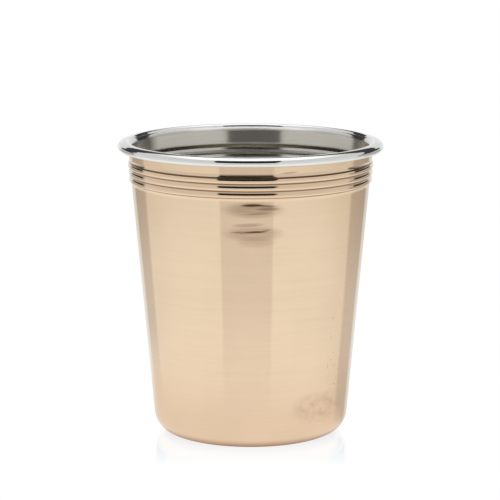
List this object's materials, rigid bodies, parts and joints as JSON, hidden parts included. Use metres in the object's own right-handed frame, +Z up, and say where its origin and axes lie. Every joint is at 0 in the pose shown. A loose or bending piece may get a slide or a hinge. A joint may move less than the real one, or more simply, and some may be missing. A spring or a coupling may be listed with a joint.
{
  "type": "julep cup",
  "caption": "Tapered metal drinking cup with raised beads round the neck, a rolled rim and a rounded foot.",
  "frame": {"origin": "middle of the resting ring, on the surface that the cup stands on", "axes": "+Z up along the cup's axis of symmetry"},
  "size_m": [0.088, 0.088, 0.098],
  "materials": {
    "copper": "polished pale copper with fine lines round the cup",
    "steel": "satin inside with fine lines round the cup, polished rim"
  },
  "bodies": {
    "root": {"copper_shell": "copper", "steel_liner": "steel"}
  },
  "joints": []
}
